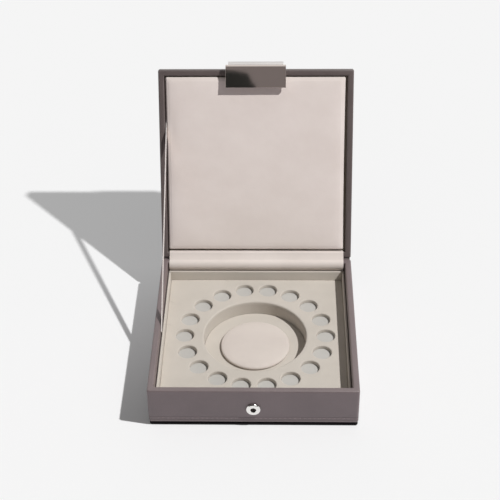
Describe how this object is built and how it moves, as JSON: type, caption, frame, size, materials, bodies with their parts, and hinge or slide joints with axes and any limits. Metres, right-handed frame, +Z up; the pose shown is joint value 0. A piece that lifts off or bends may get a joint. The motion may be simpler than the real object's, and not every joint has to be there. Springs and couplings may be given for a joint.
{
  "type": "lidded jewelry box",
  "caption": "Square leather-covered jewelry box with a padded lid on a rear hinge, a ribbon stay, a snap tab and a suede tray with a ring of wells round a pit.",
  "frame": {"origin": "centre of the underside of the base", "axes": "+X to the right, +Y to the hinge at the back, +Z up; the front is at -Y"},
  "size_m": [0.155, 0.2231, 0.1837],
  "materials": {
    "leather": "pebbled, dull sheen",
    "card": "raw grey board",
    "lining": "short nap suede cloth",
    "tray_suede": "short nap suede cloth",
    "well_suede": "short nap suede cloth, greyer",
    "felt": "black felt",
    "ribbon": "satin ribbon",
    "strap_leather": "smooth, pale",
    "snap_metal": "polished",
    "plate_metal": "polished, bare"
  },
  "bodies": {
    "base": {"plinth_pad": "felt", "base_leather": "leather", "wall_board_front": "card", "wall_board_rear": "card", "wall_board_left": "card", "wall_board_right": "card", "floor_board": "card", "lining_board_front": "lining", "lining_board_rear": "lining", "lining_board_left": "lining", "lining_board_right": "lining", "tray_board": "tray_suede", "well_floor": "well_suede", "pit_wall": "tray_suede", "pit_floor": "tray_suede", "centre_pad": "tray_suede", "tray_riser_front": "card", "tray_riser_rear": "card", "tray_riser_left": "card", "tray_riser_right": "card", "snap_socket": "snap_metal", "socket_rivet": "snap_metal", "hinge_cloth": "lining", "hinge_spine": "leather", "ribbon_stay": "ribbon"},
    "lid": {"lid_leather": "leather", "lid_top_board": "card", "lid_strip_front": "card", "lid_strip_rear": "card", "lid_strip_left": "card", "lid_strip_right": "card", "lid_pad_card": "card", "lid_pad": "lining", "tab_strap": "strap_leather"},
    "tab": {"tab_plate": "plate_metal", "snap_stud": "snap_metal", "stud_rivet": "snap_metal"}
  },
  "joints": [
    {"name": "lid_hinge", "type": "hinge", "parent": "base", "child": "lid", "pos_m": [0, 0.077, 0.0356], "axis": [1, 0, 0], "range_deg": [0, 113], "deforming": ["ribbon_stay", "hinge_cloth", "hinge_spine"]},
    {"name": "tab_hinge", "type": "hinge", "parent": "lid", "child": "tab", "pos_m": [0, 0.13696, 0.18505], "axis": [1, 0, 0], "range_deg": [-82, 0], "deforming": ["tab_strap"]}
  ],
  "couplings": [
    {"joint": "tab_hinge", "follows": "lid_hinge", "ratio": -0.7257}
  ]
}
